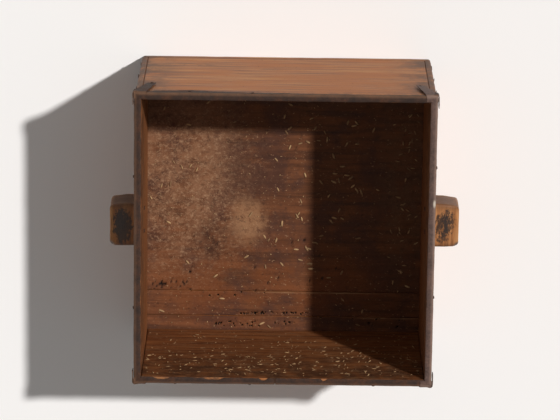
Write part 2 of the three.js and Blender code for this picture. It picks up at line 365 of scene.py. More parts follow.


# Rusted iron: brown blotches and specks that barely shine, and a paler line along the fold, partly rubbed
# iron and partly painted highlight where the rounded fold catches the light
def rustedSheet(name, look):
    material, tree, shader, place = startMaterial(name)
    patch = add(
        tree,
        "ShaderNodeTexNoise",
        {"Vector": place, "Scale": 1000 / look["patchMm"], "Detail": 8.0, "Roughness": 0.68},
    ).outputs["Fac"]
    speck = add(
        tree,
        "ShaderNodeTexNoise",
        {"Vector": place, "Scale": 1000 / look["speckMm"], "Detail": 3.0, "Roughness": 0.6},
    ).outputs["Fac"]
    ramp = add(tree, "ShaderNodeValToRGB", {"Fac": patch})
    ramp.color_ramp.elements[0].position = 0.3
    ramp.color_ramp.elements[0].color = linear(look["dark"])
    ramp.color_ramp.elements[1].position = 0.72
    ramp.color_ramp.elements[1].color = linear(look["rust"])
    middle = ramp.color_ramp.elements.new(0.5)
    middle.color = linear(look["base"])
    speckShade = add(
        tree,
        "ShaderNodeMapRange",
        {"Value": speck, "From Min": 0.3, "From Max": 0.7, "To Min": 0.7, "To Max": 1.25},
    ).outputs["Result"]
    colour = add(
        tree,
        "ShaderNodeVectorMath",
        {0: ramp.outputs["Color"], "Scale": speckShade},
        operation="SCALE",
    ).outputs[0]
    parts = add(tree, "ShaderNodeSeparateXYZ", {0: place})
    reachX = add(tree, "ShaderNodeMath", {0: parts.outputs[0]}, operation="ABSOLUTE").outputs[0]
    reachY = add(tree, "ShaderNodeMath", {0: parts.outputs[1]}, operation="ABSOLUTE").outputs[0]
    reach = add(tree, "ShaderNodeMath", {0: reachX, 1: reachY}, operation="MAXIMUM").outputs[0]
    fold = add(
        tree,
        "ShaderNodeMapRange",
        {
            "Value": reach,
            "From Min": outerHalf - rubbedAndLitEdge["inward"],
            "From Max": outerHalf + rubbedAndLitEdge["outward"],
        },
        interpolation_type="SMOOTHSTEP",
    ).outputs["Result"]
    high = add(
        tree,
        "ShaderNodeMapRange",
        {
            "Value": parts.outputs[2],
            "From Min": ironTop - rubbedAndLitEdge["from"],
            "From Max": ironTop - rubbedAndLitEdge["to"],
        },
        interpolation_type="SMOOTHSTEP",
    ).outputs["Result"]
    # painted highlight and rubbing together: the fold is paler near the top of the rim
    rubbedAndLit = add(tree, "ShaderNodeMath", {0: fold, 1: high}, operation="MULTIPLY").outputs[0]
    rubbedAndLit = add(tree, "ShaderNodeMath", {0: rubbedAndLit, 1: patch}, operation="MULTIPLY").outputs[0]
    rubbedAndLit = add(tree, "ShaderNodeMath", {0: rubbedAndLit, 1: look["rubbedAndLit"]}, operation="MULTIPLY").outputs[0]
    colour = add(
        tree,
        "ShaderNodeMix",
        {0: rubbedAndLit, 6: colour, 7: linear(look["worn"])},
        data_type="RGBA",
    ).outputs[2]
    if "chip" in look:  # a fleck of lime that has stayed on the rim
        chip = softOval(tree, place, look["chip"], look["chipReach"])
        colour = add(
            tree,
            "ShaderNodeMix",
            {0: chip, 6: colour, 7: linear(look["lime"])},
            data_type="RGBA",
        ).outputs[2]
    tree.links.new(colour, shader.inputs["Base Color"])
    shader.inputs["Metallic"].default_value = look["metal"]
    shader.inputs["Specular IOR Level"].default_value = 0.2  # rust keeps little of the iron's shine
    rough = add(
        tree,
        "ShaderNodeMapRange",
        {"Value": patch, "From Min": 0.3, "From Max": 0.7, "To Min": 0.55, "To Max": 0.85},
    ).outputs["Result"]
    tree.links.new(rough, shader.inputs["Roughness"])
    relief = add(tree, "ShaderNodeMath", {0: patch, 1: speck}, operation="ADD").outputs[0]
    bump = add(tree, "ShaderNodeBump", {"Height": relief, "Strength": 0.6, "Distance": 0.5 * mm})
    tree.links.new(bump.outputs[0], shader.inputs["Normal"])
    return material


# Dry rice husk: matt straw, dull and bright by turns, with a faint roughness for its ribs
def riceHusk(name, look):
    material, tree, shader, place = startMaterial(name)
    vary = add(
        tree,
        "ShaderNodeTexNoise",
        {"Vector": place, "Scale": 1000 / look["varyMm"], "Detail": 2.0},
    ).outputs["Fac"]
    ramp = add(tree, "ShaderNodeValToRGB", {"Fac": vary})
    ramp.color_ramp.elements[0].position = 0.35
    ramp.color_ramp.elements[0].color = linear(look["dull"])
    ramp.color_ramp.elements[1].position = 0.65
    ramp.color_ramp.elements[1].color = linear(look["bright"])
    tree.links.new(ramp.outputs["Color"], shader.inputs["Base Color"])
    shader.inputs["Roughness"].default_value = 0.8
    ribs = add(
        tree,
        "ShaderNodeTexNoise",
        {"Vector": place, "Scale": 1000 / look["ribMm"], "Detail": 1.0},
    ).outputs["Fac"]
    bump = add(tree, "ShaderNodeBump", {"Height": ribs, "Strength": 0.5, "Distance": 0.15 * mm})
    tree.links.new(bump.outputs[0], shader.inputs["Normal"])
    return material


# Pine outside, planed and long handled: satin orange brown, darker at the ends and under the iron, with
# painted shade on the rounded upright corners
def outerLook(grain):
    return {
        "grain": grain,
        "pale": "#B47D4A",
        "mid": "#9A643C",
        "deep": "#6A4128",
        "rough": 0.55,
        "sheen": 0.2,
        "fine": (0.74, 1.2),
        "streakMm": (150, 6),
        "layers": [
            # orange streaks
            {"colour": "#9C5A26", "sizeMm": 26, "drawn": 4, "from": 0.46, "soft": 0.14, "most": 0.7},
            # brown streaks
            {
                "colour": "#5F4130", "sizeMm": 14, "drawn": 3, "rough": 0.75, "from": 0.56,
                "soft": 0.12, "most": 0.3,
            },
            # darker towards both ends of a board
            {
                "colour": "#4E382B", "sizeMm": 30, "from": 0.34, "soft": 0.24, "most": 0.9,
                "band": (grain, 0.105, 0.16, True),
            },
            # and darkest in the last few millimetres: painted shade on the rounded upright corners
            {
                "colour": "#4A3325", "sizeMm": 9, "rough": 0.75, "from": 0.3, "soft": 0.3,
                "most": 0.75, "band": (grain, 0.152, 0.16, True),
            },
            # darker under the rim iron
            {
                "colour": "#3E2B20", "sizeMm": 9, "from": 0.4, "soft": 0.2, "most": 0.75,
                "band": ("z", 0.168, 0.192, False),
            },
            # a faint grey smudge low on the front board
            {
                "colour": "#40342D", "sizeMm": 22, "from": 0.5, "soft": 0.12, "most": 0.6,
                "centre": (0.1, -0.163, 0.05), "reach": (0.03, 0.02, 0.012),
            },
            # dark nicks
            {"colour": "#2C1D15", "sizeMm": 3, "from": 0.64, "soft": 0.06, "most": 0.75},
        ],
    }


# Pine inside: matt dark brown, scuffed pale in short strokes, darker towards the rim
innerLook = {
    "pale": "#965F36",
    "mid": "#784524",
    "deep": "#54301B",
    "rough": 0.62,
    "sheen": 0.15,
    "fine": (0.78, 1.14),
    "streakMm": (120, 6),
    "layers": [
        # darker towards the rim
        {
            "colour": "#351F13", "sizeMm": 26, "from": 0.34, "soft": 0.25, "most": 0.85,
            "band": ("z", 0.05, 0.19, False),
        },
        # scuffs
        {
            "colour": "#8A6446", "sizeMm": 5, "drawn": 2.5, "rough": 0.85, "from": 0.48,
            "soft": 0.16, "most": 0.6,
        },
        # dark pits
        {"colour": "#1E120B", "sizeMm": 4, "from": 0.64, "soft": 0.07, "most": 0.45},
    ],
}
# Pine of the bottom under old dust: matt, with pale and dark patches that hide most of the grain
bottomLook = {
    "pale": "#7C4C30",
    "mid": "#683F28",
    "deep": "#4A2D1E",
    "rough": 0.66,
    "sheen": 0.12,
    "fine": (0.84, 1.12),
    "streakMm": (110, 9),
    "layers": [
        # broad dark blotches
        {"colour": "#452E28", "sizeMm": 48, "rough": 0.7, "from": 0.44, "soft": 0.16, "most": 0.6},
        # warmer wood by the back board
        {
            "colour": "#7C4524", "sizeMm": 34, "drawn": 2, "from": 0.4, "soft": 0.2, "most": 0.6,
            "centre": (0.03, 0.1, 0.009), "reach": (0.2, 0.075, 0.05),
        },
        # pale dust by the right wall
        {
            "colour": "#8E6448", "sizeMm": 30, "rough": 0.86, "from": 0.36, "soft": 0.24,
            "most": 0.8, "centre": (0.12, -0.03, 0.009), "reach": (0.1, 0.16, 0.05),
        },
        # coarser grains in that dust
        {
            "colour": "#A98465", "sizeMm": 4.5, "drawn": 1.2, "rough": 0.85, "from": 0.5,
            "soft": 0.12, "most": 0.75, "centre": (0.11, -0.01, 0.009), "reach": (0.12, 0.15, 0.05),
        },
        # darker wood beside the dust
        {
            "colour": "#452A20", "sizeMm": 20, "rough": 0.8, "from": 0.36, "soft": 0.25,
            "most": 0.6, "centre": (0.03, -0.035, 0.009), "reach": (0.06, 0.065, 0.05),
        },
        # a dark patch
        {
            "colour": "#38221A", "sizeMm": 14, "rough": 0.8, "from": 0.34, "soft": 0.3,
            "most": 0.75, "centre": (0.083, 0.05, 0.009), "reach": (0.032, 0.034, 0.05),
            "wander": 14 * mm,
        },
        # a bright dusty patch near the middle
        {
            "colour": "#9C7150", "sizeMm": 9, "rough": 0.86, "from": 0.34, "soft": 0.2, "most": 0.9,
            "centre": (0.042, 0.027, 0.009), "reach": (0.028, 0.038, 0.05), "wander": 9 * mm,
        },
        # brown dust by the left wall
        {
            "colour": "#6E4C34", "sizeMm": 12, "rough": 0.85, "from": 0.4, "soft": 0.2, "most": 0.7,
            "centre": (-0.135, -0.02, 0.009), "reach": (0.04, 0.16, 0.05),
        },
        # dark mottling
        {"colour": "#2E1B12", "sizeMm": 7, "rough": 0.85, "from": 0.54, "soft": 0.12, "most": 0.6},
        # loose light specks
        {
            "colour": "#B08866", "sizeMm": 2.4, "drawn": 1.4, "rough": 0.75, "from": 0.6,
            "soft": 0.07, "most": 0.8,
        },
        # pale dust caught along the two seams
        {
            "colour": "#A88360", "sizeMm": 12, "drawn": 3, "from": 0.3, "soft": 0.3, "most": 0.7,
            "centre": (-0.04, 0.1112, 0.0088), "reach": (0.09, 0.0014, 0.01),
        },
        {
            "colour": "#A88360", "sizeMm": 12, "drawn": 3, "from": 0.3, "soft": 0.3, "most": 0.7,
            "centre": (-0.12, 0.1407, 0.0088), "reach": (0.05, 0.0014, 0.01),
        },
        # dark specks
        {"colour": "#1A0E08", "sizeMm": 3, "rough": 0.7, "from": 0.64, "soft": 0.06, "most": 0.75},
    ],
}
# Whittled pine of the handles: the palest and smoothest wood, stained black where hands hold it
handleLook = {
    "pale": "#C08C58",
    "mid": "#A66F41",
    "deep": "#7A4B25",
    "rough": 0.5,
    "sheen": 0.3,
    "fine": (0.74, 1.18),
    "streakMm": (60, 4),
    "grain": "y",
}
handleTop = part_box("handle_right")[1].z


# the handles differ in their black stains, and in painted shade on the right one, which lies in the box's
# shadow
handleStainAndShade = {  # how the two handles differ
    "right": {"shadeCast": 0.3, "cheek": "#2C1B11", "blackFrom": 0.27, "blackAt": 0.1785},
    "left": {"shadeCast": 0.0, "cheek": "#4B2F1D", "blackFrom": 0.37, "blackAt": 0.1745},
}


# a dark cheek to the front and a black stain along the top, with painted shade on the cut corner, the back
# edge and the right handle
def handleLayers(side, middle):  # a dark cheek to the front, and a black stain along the top
    stainAndShade = handleStainAndShade[side]
    sx = sideNames[side]
    front = middle - 0.034
    return [
        # painted shade: a brown cast over the whole handle, given only to the right one, which lies in the
        # box's shadow
        {"colour": "#3A2317", "sizeMm": 16, "from": 0.3, "soft": 0.25, "most": stainAndShade["shadeCast"]},
        # the dark front cheek, made darker on the right handle as painted shade
        {
            "colour": stainAndShade["cheek"], "sizeMm": 12, "from": 0.15, "soft": 0.25, "most": 0.95,
            "centre": (sx * 0.178, front, handleTop - 0.02), "reach": (0.06, 0.025, 0.07),
        },
        # the black stain on top, broken up along the grain
        {
            "colour": "#1C110B", "sizeMm": 2.8, "drawn": 3, "rough": 0.8, "from": stainAndShade["blackFrom"],
            "soft": 0.13, "most": 0.92, "centre": (sx * stainAndShade["blackAt"], middle + 0.002, handleTop),
            "reach": (0.0185, 0.037, 0.012), "wander": 5 * mm, "ragged": True,
        },
        # and finer ones around them
        {
            "colour": "#1C110B", "sizeMm": 1.6, "drawn": 2, "rough": 0.8, "from": 0.44,
            "soft": 0.05, "most": 0.9, "centre": (sx * 0.181, middle - 0.004, handleTop),
            "reach": (0.018, 0.034, 0.008), "wander": 4 * mm, "ragged": True,
        },
        # the cut corner: painted shade on the facet that faces away from the lamp
        {
            "colour": "#2A1D16", "sizeMm": 20, "from": 0.1, "soft": 0.1, "most": 0.95,
            "centre": (sx * 0.1925, middle + 0.0235, handleTop - 0.002),
            "reach": (0.007, 0.007, 0.007),
        },
        # the back edge: painted shade where the handle turns away from the lamp
        {
            "colour": "#3A2A20", "sizeMm": 6, "from": 0.3, "soft": 0.2, "most": 0.8,
            "band": ("y", middle + 0.018, middle + 0.026, False),
        },
    ]


outerX = agedPine("handled_pine_lengthwise", outerLook("x"))
outerY = agedPine("handled_pine_crosswise", outerLook("y"))
innerX = agedPine("grain_darkened_pine_lengthwise", {**innerLook, "grain": "x"})
innerY = agedPine("grain_darkened_pine_crosswise", {**innerLook, "grain": "y"})
bottomPine = agedPine("dusty_worn_pine", {**bottomLook, "grain": "x"})
# Thin sheet iron, hammered down over the rim: dark brown rust, nearly matt
rimLook = {
    "patchMm": 14,
    "speckMm": 2.2,
    "dark": "#251A15",
    "base": "#38271F",
    "rust": "#553626",
    # the fold's paler colour: rubbed iron and painted highlight
    "worn": "#7D5C46",
    "rubbedAndLit": 1.0,
    "metal": 0.15,
}
rimSheet = rustedSheet("rusted_sheet_iron", rimLook)
# The same sheet on the side that faces the lamp: painted paler and greyer for the light that falls on it,
# with one real white fleck of lime
litAndLimeLook = {
    "dark": "#43342E",
    "base": "#5B4740",
    "rust": "#6E5347",
    "worn": "#94796A",
    "lime": "#B9AC9C",
    "chip": (-outerHalf + 0.5 * mm, -0.044, ironTop - 1 * mm),
    "chipReach": (2.2 * mm, 6 * mm, 4 * mm),
}
litAndLimeSheet = rustedSheet("rusted_sheet_iron_painted_lit_with_lime", {**rimLook, **litAndLimeLook})
# Forged iron of the nails: finer specks than the sheet, and a little more metal in its shine
nailIron = rustedSheet(
    "forged_nail_iron",
    {
        "patchMm": 5,
        "speckMm": 1.2,
        "dark": "#2A1F1B",
        "base": "#3C2C25",
        "rust": "#5C3A2A",
        "worn": "#6B5142",
        "rubbedAndLit": 0.3,
        "metal": 0.4,
    },
)
huskStraw = riceHusk("dry_rice_husk", {"varyMm": 9, "ribMm": 0.6, "dull": "#7C5A3B", "bright": "#B99468"})
print("finishes are mixed")


# Boards and planks


def gridLines(low, high, spacing, ease):  # even steps, and closer ones where the edges are rounded
    steps = max(2, round((high - low - 2 * ease) / spacing) + 1)
    edge = np.array([0, 0.3, 0.68]) * ease
    return np.concatenate([low + edge, np.linspace(low + ease, high - ease, steps), high - edge[::-1]])


def slabMesh(lines):  # the closed skin of a block, cut at these values along x, y and z
    surface = np.zeros([len(line) for line in lines], bool)
    sheets = []
    for axis in range(3):
        for end in (0, -1):
            index = [slice(None)] * 3
            index[axis] = end
            surface[tuple(index)] = True
            sheets.append((axis, end, tuple(index)))
    ids = np.full(surface.shape, -1)
    ids[surface] = np.arange(surface.sum())
    spots = np.nonzero(surface)
    points = np.stack([line[spot] for line, spot in zip(lines, spots)], 1)
    quads = []
    for axis, end, index in sheets:
        sheet = ids[index]
        corners = [sheet[:-1, :-1], sheet[1:, :-1], sheet[1:, 1:], sheet[:-1, 1:]]
        if (end == 0) != (axis == 1):
            corners.reverse()
        quads.append(np.stack(corners, -1).reshape(-1, 4))
    return points, np.concatenate(quads)


def roundEdges(points, low, high, radiusOf):
    for a, b in ((0, 1), (0, 2), (1, 2)):
        for sa in (-1, 1):
            for sb in (-1, 1):
                radius = radiusOf((a, sa), (b, sb))
                u = high[a] - points[:, a] if sa > 0 else points[:, a] - low[a]
                v = high[b] - points[:, b] if sb > 0 else points[:, b] - low[b]
                near = (u < radius) & (v < radius)
                du = radius - u[near]
                dv = radius - v[near]
                pull = np.minimum(1, radius / np.maximum(np.hypot(du, dv), 1e-9))
                points[near, a] -= sa * (du - du * pull)
                points[near, b] -= sb * (dv - dv * pull)
    return points


def pieceFrom(name, points, faces, materials, nodes):
    mesh = bpy.data.meshes.new(name)
    mesh.from_pydata([tuple(p) for p in points], [], [tuple(f) for f in faces])
    for material in materials:
        mesh.materials.append(material)
    mesh.shade_smooth()
    mesh.update()
    piece = link(bpy.data.objects.new(name, mesh))
    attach(piece, "root")
    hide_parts(*nodes)
    return piece


planing = {"along": 12, "across": 260, "dents": 45}  # marks per metre


def wearSurface(piece, grain, streak, dent):  # planing marks and dents go inwards only, so the sizes hold
    mesh = piece.data
    count = len(mesh.vertices)
    points = np.empty(count * 3)
    normals = np.empty(count * 3)
    mesh.vertices.foreach_get("co", points)
    mesh.vertices.foreach_get("normal", normals)
    points = points.reshape(-1, 3)
    normals = normals.reshape(-1, 3)
    scale = Vector([planing["along"] if axis == grain else planing["across"] for axis in "xyz"])
    for i in range(count):
        p = Vector(points[i])
        lines = abs(noise.noise(p * scale))
        dents = max(0, noise.noise(p * planing["dents"]))
        points[i] += normals[i] * -(streak * lines + dent * dents)
    mesh.vertices.foreach_set("co", points.ravel())
    mesh.update()


boardWear = {"spacing": 4 * mm, "edge": 0.9 * mm, "streak": 0.16 * mm, "dent": 0.35 * mm}
cornerWear = {"upright": 3.2 * mm, "top": 1.8 * mm}


def wornBoard(node, grain, outward, outer, inner):
    low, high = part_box(node)
    axis, side = outward

    def radiusOf(first, second):
        if (0, side) in (first, second) and axis == 0 and {first[0], second[0]} == {0, 1}:
            return cornerWear["upright"]
        if (axis, side) in (first, second) and (2, 1) in (first, second):
            return cornerWear["top"]
        return boardWear["edge"]

    lines = [gridLines(low[i], high[i], boardWear["spacing"], cornerWear["upright"]) for i in range(3)]
    points, quads = slabMesh(lines)
    points = roundEdges(points, low, high, radiusOf)
    piece = pieceFrom("worn_" + node, points, quads, [outer, inner], [node])
    wearSurface(piece, grain, boardWear["streak"], boardWear["dent"])
    for face in piece.data.polygons:
        if face.normal[axis] * side < -0.7:
            face.material_index = 1


for side, sx in sideNames.items():
    wornBoard(f"side_board_{side}", "y", (0, sx), outerY, innerY)
for end, sy in endNames.items():
    wornBoard(f"{end}_board", "x", (1, sy), outerX, innerX)
print("four boards are planed and worn")

wormRows = [  # middle of a row of worm holes, how far it runs and strays, and how many holes it has
    {"middle": (0.132, 0.104), "run": 0.024, "stray": 0.005, "holes": 24},
    {"middle": (0.07, 0.112), "run": 0.05, "stray": 0.004, "holes": 10},
    {"middle": (0.01, 0.136), "run": 0.04, "stray": 0.0012, "holes": 36},
    {"middle": (0.03, 0.149), "run": 0.05, "stray": 0.003, "holes": 30},
    {"middle": (0.02, 0.07), "run": 0.09, "stray": 0.03, "holes": 16},
    {"middle": (-0.08, 0.146), "run": 0.06, "stray": 0.006, "holes": 10},
]
plankWear = {
    "spacing": 0.75 * mm,
    "edge": 0.8 * mm,
    "foot": 4 * mm,
    "holeRadius": (0.75 * mm, 1.45 * mm),
    "holeDepth": 2.2 * mm,
    # painted shade: how strongly the holes are darkened
    "holeShade": 2.5,  # above 1, so that the dark reaches up a hole's sides
}
picker = random.Random(7)
wormHoles = [
    (
        row["middle"][0] + picker.uniform(-1, 1) * row["run"],
        row["middle"][1] + picker.uniform(-1, 1) * row["stray"],
        picker.uniform(*plankWear["holeRadius"]),
    )
    for row in wormRows
    for _ in range(row["holes"])
]


def wornPlank(node):
    low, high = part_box(node)
    corner = plankWear["foot"]

    def radiusOf(first, second):
        atEnd = first[0] == 0 and second[0] == 1
        outside = atEnd and abs([low, high][second[1] > 0][1]) > outerHalf - 1 * mm
        return corner if outside else plankWear["edge"]

    wide = high.y - low.y > 0.1  # a coarser grid keeps the wide plank's mesh small
    lines = [
        gridLines(low.x, high.x, plankWear["spacing"] * (2 if wide else 1), corner),
        gridLines(low.y, high.y, plankWear["spacing"] * (4 if wide else 1), corner if wide else 1 * mm),
        gridLines(low.z, high.z, 3 * mm, plankWear["edge"]),
    ]
    points, quads = slabMesh(lines)
    points = roundEdges(points, low, high, radiusOf)
    piece = pieceFrom("worn_" + node, points, quads, [bottomPine, outerX], [node])
    wearSurface(piece, "x", boardWear["streak"], boardWear["dent"])
    mesh = piece.data
    points = np.empty(len(mesh.vertices) * 3)
    mesh.vertices.foreach_get("co", points)
    points = points.reshape(-1, 3)
    pitShade = np.zeros(len(points))
    top = points[:, 2] > high.z - plankWear["edge"]
    for x, y, radius in wormHoles:
        near = np.hypot(points[:, 0] - x, points[:, 1] - y) / radius
        share = np.where(top, np.clip(1 - near**2, 0, 1), 0)
        points[:, 2] -= share * plankWear["holeDepth"]
        pitShade = np.maximum(pitShade, np.clip(share * plankWear["holeShade"], 0, 1))
    mesh.vertices.foreach_set("co", points.ravel())
    mesh.attributes.new("pitShade", "FLOAT", "POINT").data.foreach_set("value", pitShade)
    for face in mesh.polygons:
        if face.normal.z < 0.5:
            face.material_index = 1
    mesh.update()


for node in ("bottom_plank_wide", "bottom_plank_middle", "bottom_plank_narrow"):
    wornPlank(node)
print("three bottom planks are laid, with", len(wormHoles), "worm holes")


# Handles

handleShape = {
    "corner": 5 * mm,
    "bevel": 2.4 * mm,
    "seat": 0.3 * mm,  # edge left sharp against the side board
    "taper": 2.2 * mm,
    "taperSteep": 1.8,  # above 1, so that the taper starts part of the way out
    "cut": 8 * mm,
    "spacing": 1.6 * mm,
    "streak": 0.12 * mm,
    "dent": 0.9 * mm,
}


def whittledHandle(side, sx):
    low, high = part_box(f"handle_{side}")
    middle = (low.y + high.y) / 2
    tip = high.x if sx > 0 else low.x

    def radiusOf(first, second):
        outside = (0, sx) in (first, second)
        if outside and {first[0], second[0]} == {0, 1}:
            return handleShape["corner"]
        inside = (0, -sx) in (first, second)
        return handleShape["seat" if inside else "bevel"]

    lines = [gridLines(low[i], high[i], handleShape["spacing"], handleShape["corner"]) for i in range(3)]
    points, quads = slabMesh(lines)
    points = roundEdges(points, low, high, radiusOf)
    steep = handleShape["taperSteep"]
    out = (np.abs(points[:, 0]) - outerHalf) / (abs(tip) - outerHalf)
    out = np.clip(out * steep - (steep - 1), 0, 1)
    frontward = (high.y - points[:, 1]) / (high.y - low.y)
    points[:, 1] += handleShape["taper"] * out * frontward
    facing = np.array([sx, 1, 1]) / math.sqrt(3)  # the corner that has been cut away
    start = np.array([tip - sx * handleShape["cut"], high.y, high.z])
    beyond = np.maximum(0, (points - start) @ facing)
    points -= beyond[:, None] * facing
    look = {**handleLook, "layers": handleLayers(side, middle)}
    wood = agedPine(f"whittled_pine_{side}", look)
    piece = pieceFrom(f"whittled_handle_{side}", points, quads, [wood], [f"handle_{side}"])
    wearSurface(piece, "y", handleShape["streak"], handleShape["dent"])


for side, sx in sideNames.items():
    whittledHandle(side, sx)
print("handles are whittled")


# Rim irons

sheet = {
    "thick": 0.7 * mm,
    "width": 7.6 * mm,
    "fold": 2.6 * mm,
    "station": 2.5 * mm,  # how far apart the strip's sections are
    "stand": 1 * mm,  # from the board's face to the iron's
    "lipDip": 0.5 * mm,  # the inner lip is bent down this far, over this much of its width
    "lipOuter": 0.6 * mm,
    "lipInner": 0.7 * mm,
    "crown": 0.05 * mm,
    "raggedFoot": 0.9 * mm,
    "raggedLip": 0.35 * mm,
    "bite": 2.4 * mm,
    "tuck": 0.5 * mm,  # the end irons dip this far at the corners, to pass under the side ones
    "overhang": 0.6 * mm,
    "cornerGap": 2 * mm,
    "endShort": 0.2 * mm,
    "meetingGap": 0.8 * mm,
}
hammerMarks = [(0.28 * mm, 55), (0.12 * mm, 210)]  # depth, and marks per metre
hammerSeed = 1795656439  # another number places the marks elsewhere
flangeDepth = {  # how far the turned-down edge reaches, in mm, at places along the board in mm
    "front": [
        (-165, 12), (-150, 5), (-110, 3.6), (-69, 3.8), (-4, 6.5), (39, 7.5),
        (82, 11.5), (104, 15.5), (126, 13.4), (150, 9.5), (165, 12),
    ],
    "back": [(-165, 12), (-149, 7), (-60, 6.2), (7, 7.4), (9, 6.6), (70, 7.6), (149, 6.8), (165, 12)],
    "right": [(-165, 5.4), (0, 5.0), (165, 5.6)],
    "left": [(-165, 5.2), (0, 5.8), (165, 5.2)],
}
ironFace = outerHalf + sheet["stand"]
rimBites = [(133, 9), (77, 11), (21, 5), (-45, 3)]  # gaps in the back iron's lip: middle, half width, mm
noise.seed_set(hammerSeed)


def onEdge(edge, along, inward, down):  # a point on the rim, measured from the outer face and the top
    spots = {
        "front": (along, inward - ironFace, ironTop - down),
        "back": (along, ironFace - inward, ironTop - down),
        "right": (ironFace - inward, along, ironTop - down),
        "left": (inward - ironFace, along, ironTop - down),
    }
    return Vector(spots[edge])


def thickSheet(outer, inner):  # closed plate between two grids of points
    rows = len(outer)
    columns = len(outer[0])
    points = [p for grid in (outer, inner) for row in grid for p in row]
    faces = []

    def at(layer, row, column):
        return layer * rows * columns + row * columns + column

    for i in range(rows - 1):
        for j in range(columns - 1):
            faces.append((at(0, i, j), at(0, i + 1, j), at(0, i + 1, j + 1), at(0, i, j + 1)))
            faces.append((at(1, i, j), at(1, i, j + 1), at(1, i + 1, j + 1), at(1, i + 1, j)))
        for j in (0, columns - 1):
            faces.append((at(0, i, j), at(1, i, j), at(1, i + 1, j), at(0, i + 1, j)))
    for j in range(columns - 1):
        for i in (0, rows - 1):
            faces.append((at(0, i, j), at(0, i, j + 1), at(1, i, j + 1), at(1, i, j)))
    return points, faces


def hammered(p):  # a hand-worked sheet is never flat
    moved = p.copy()
    for depth, scale in hammerMarks:
        moved += depth * noise.noise_vector(p * scale)
    return moved


def rimStrip(edge, start, end, sink):  # the iron over one board, from its inner lip to its turned-down foot
    steps = max(2, round((end - start) / sheet["station"]))
    outer = []
    inner = []
    depths = np.array(flangeDepth[edge]) * mm
    fold = sheet["fold"]
    thick = sheet["thick"]
    for i in range(steps + 1):
        along = start + (end - start) * i / steps
        jag = noise.noise(Vector((along * 230, 3.7, 1.1)))
        jag += 0.6 * noise.noise(Vector((along * 700, 9.1, 4.4)))
        reach = float(np.interp(along, depths[:, 0], depths[:, 1])) + sheet["raggedFoot"] * jag
        lip = sheet["width"] + sheet["raggedLip"] * noise.noise(Vector((along * 160, 7.3, 2.2)))
        if edge == "back":
            bitten = max(0, *(1 - (abs(along / mm - x) / half) ** 4 for x, half in rimBites))
            lip -= sheet["bite"] * bitten
        low = sink if abs(along) > innerHalf - 5 * mm else 0
        arc = [math.radians(a) for a in (0, 22, 45, 68, 90)]
        dip = sheet["lipDip"]
        outside = [(lip, dip), (lip - sheet["lipOuter"], sheet["crown"]), (lip / 2 + fold / 2, 0)]
        outside += [(fold - fold * math.sin(a), fold - fold * math.cos(a)) for a in arc]
        outside += [(0, (fold + reach) / 2), (0, reach)]
        small = fold - thick
        within = [(lip, dip + thick), (lip - sheet["lipInner"], thick), (lip / 2 + fold / 2, thick)]
        within += [(fold - small * math.sin(a), fold - small * math.cos(a)) for a in arc]
        within += [(thick, (fold + reach) / 2), (thick, reach)]
        outer.append([onEdge(edge, along, a, d + low) for a, d in outside])
        inner.append([onEdge(edge, along, a, d + low) for a, d in within])
    return thickSheet(outer, inner)


tongueShape = {
    "length": 47 * mm,
    "lap": 5 * mm,
    "rows": 22,
    "columns": 7,
    "face": 1 * mm,
    "outerEdge": 0.8,  # mm in from the corner at the top, as is the inner edge
    "innerEdge": 13.4,
    "straight": 9.5,  # mm down before the outer edge slants
    "outerSlant": (13.4, 37.5),  # mm inwards, over this many mm down
    "innerSlant": (9.5, 45),
    "ragged": 0.5,
    "bendFrom": 0.2,  # in radii of the fold, as are the next two
    "bendOver": 1.5,
    "bendDrop": 1.3,
    "liftOver": 20 * mm,
    "lift": {"right": 0.2 * mm, "left": 0.9 * mm},  # how far the inner edge has sprung from the board
}


def cornerTongue(sy, sx, lift):  # the side iron's end, folded over the corner and down the face
    shape = tongueShape
    outer = []
    inner = []
    face = ironFace + shape["face"]
    fold = sheet["fold"]
    total = shape["lap"] + shape["length"]
    outerIn, outerDown = shape["outerSlant"]
    innerIn, innerDown = shape["innerSlant"]
    for i in range(shape["rows"] + 1):
        run = total * i / shape["rows"] - shape["lap"]
        down = max(0, run)
        outerEdge = shape["outerEdge"] + max(0, down / mm - shape["straight"]) * outerIn / outerDown
        innerEdge = shape["innerEdge"] + down / mm * innerIn / innerDown
        ragged = shape["ragged"] * noise.noise(Vector((run * 260, sx * 3.1, sy * 5.3)))
        rowOut = []
        rowIn = []
        for j in range(shape["columns"] + 1):
            share = j / shape["columns"]
            u = (outerEdge + (innerEdge - outerEdge) * share + ragged * (share - 0.5)) * mm
            x = sx * (face - u)
            raised = lift * share * min(1, down / shape["liftOver"])
            if run < -fold * shape["bendFrom"]:  # still on the rim
                rowOut.append(Vector((x, sy * (face - fold + run), ironTop + sheet["crown"])))
                rowIn.append(Vector((x, sy * (face - fold + run), ironTop - sheet["thick"])))
                continue
            bent = (down + fold * shape["bendFrom"]) / (fold * shape["bendOver"])
            angle = min(1, bent) * math.pi / 2
            y = face - fold + fold * math.sin(angle)
            z = ironTop - fold + fold * math.cos(angle) - max(0, down - fold * shape["bendDrop"])
            away = Vector((0, sy * math.sin(angle), math.cos(angle)))
            spot = Vector((x, sy * (y + raised), z))
            rowOut.append(spot)
            rowIn.append(spot - away * sheet["thick"])
        outer.append(rowOut)
        inner.append(rowIn)
    return thickSheet(outer, inner)


tabShape = {
    "length": 15.5 * mm,
    "top": 1.5 * mm,
    "bottom": 12.2 * mm,
    "rows": 5,
    "proud": 1.6 * mm,
    "turn": 3.2 * mm,
    "root": 9 * mm,  # where it leaves the flange, and how far under it starts
    "under": 1.4 * mm,
    "ragged": 0.5 * mm,
}


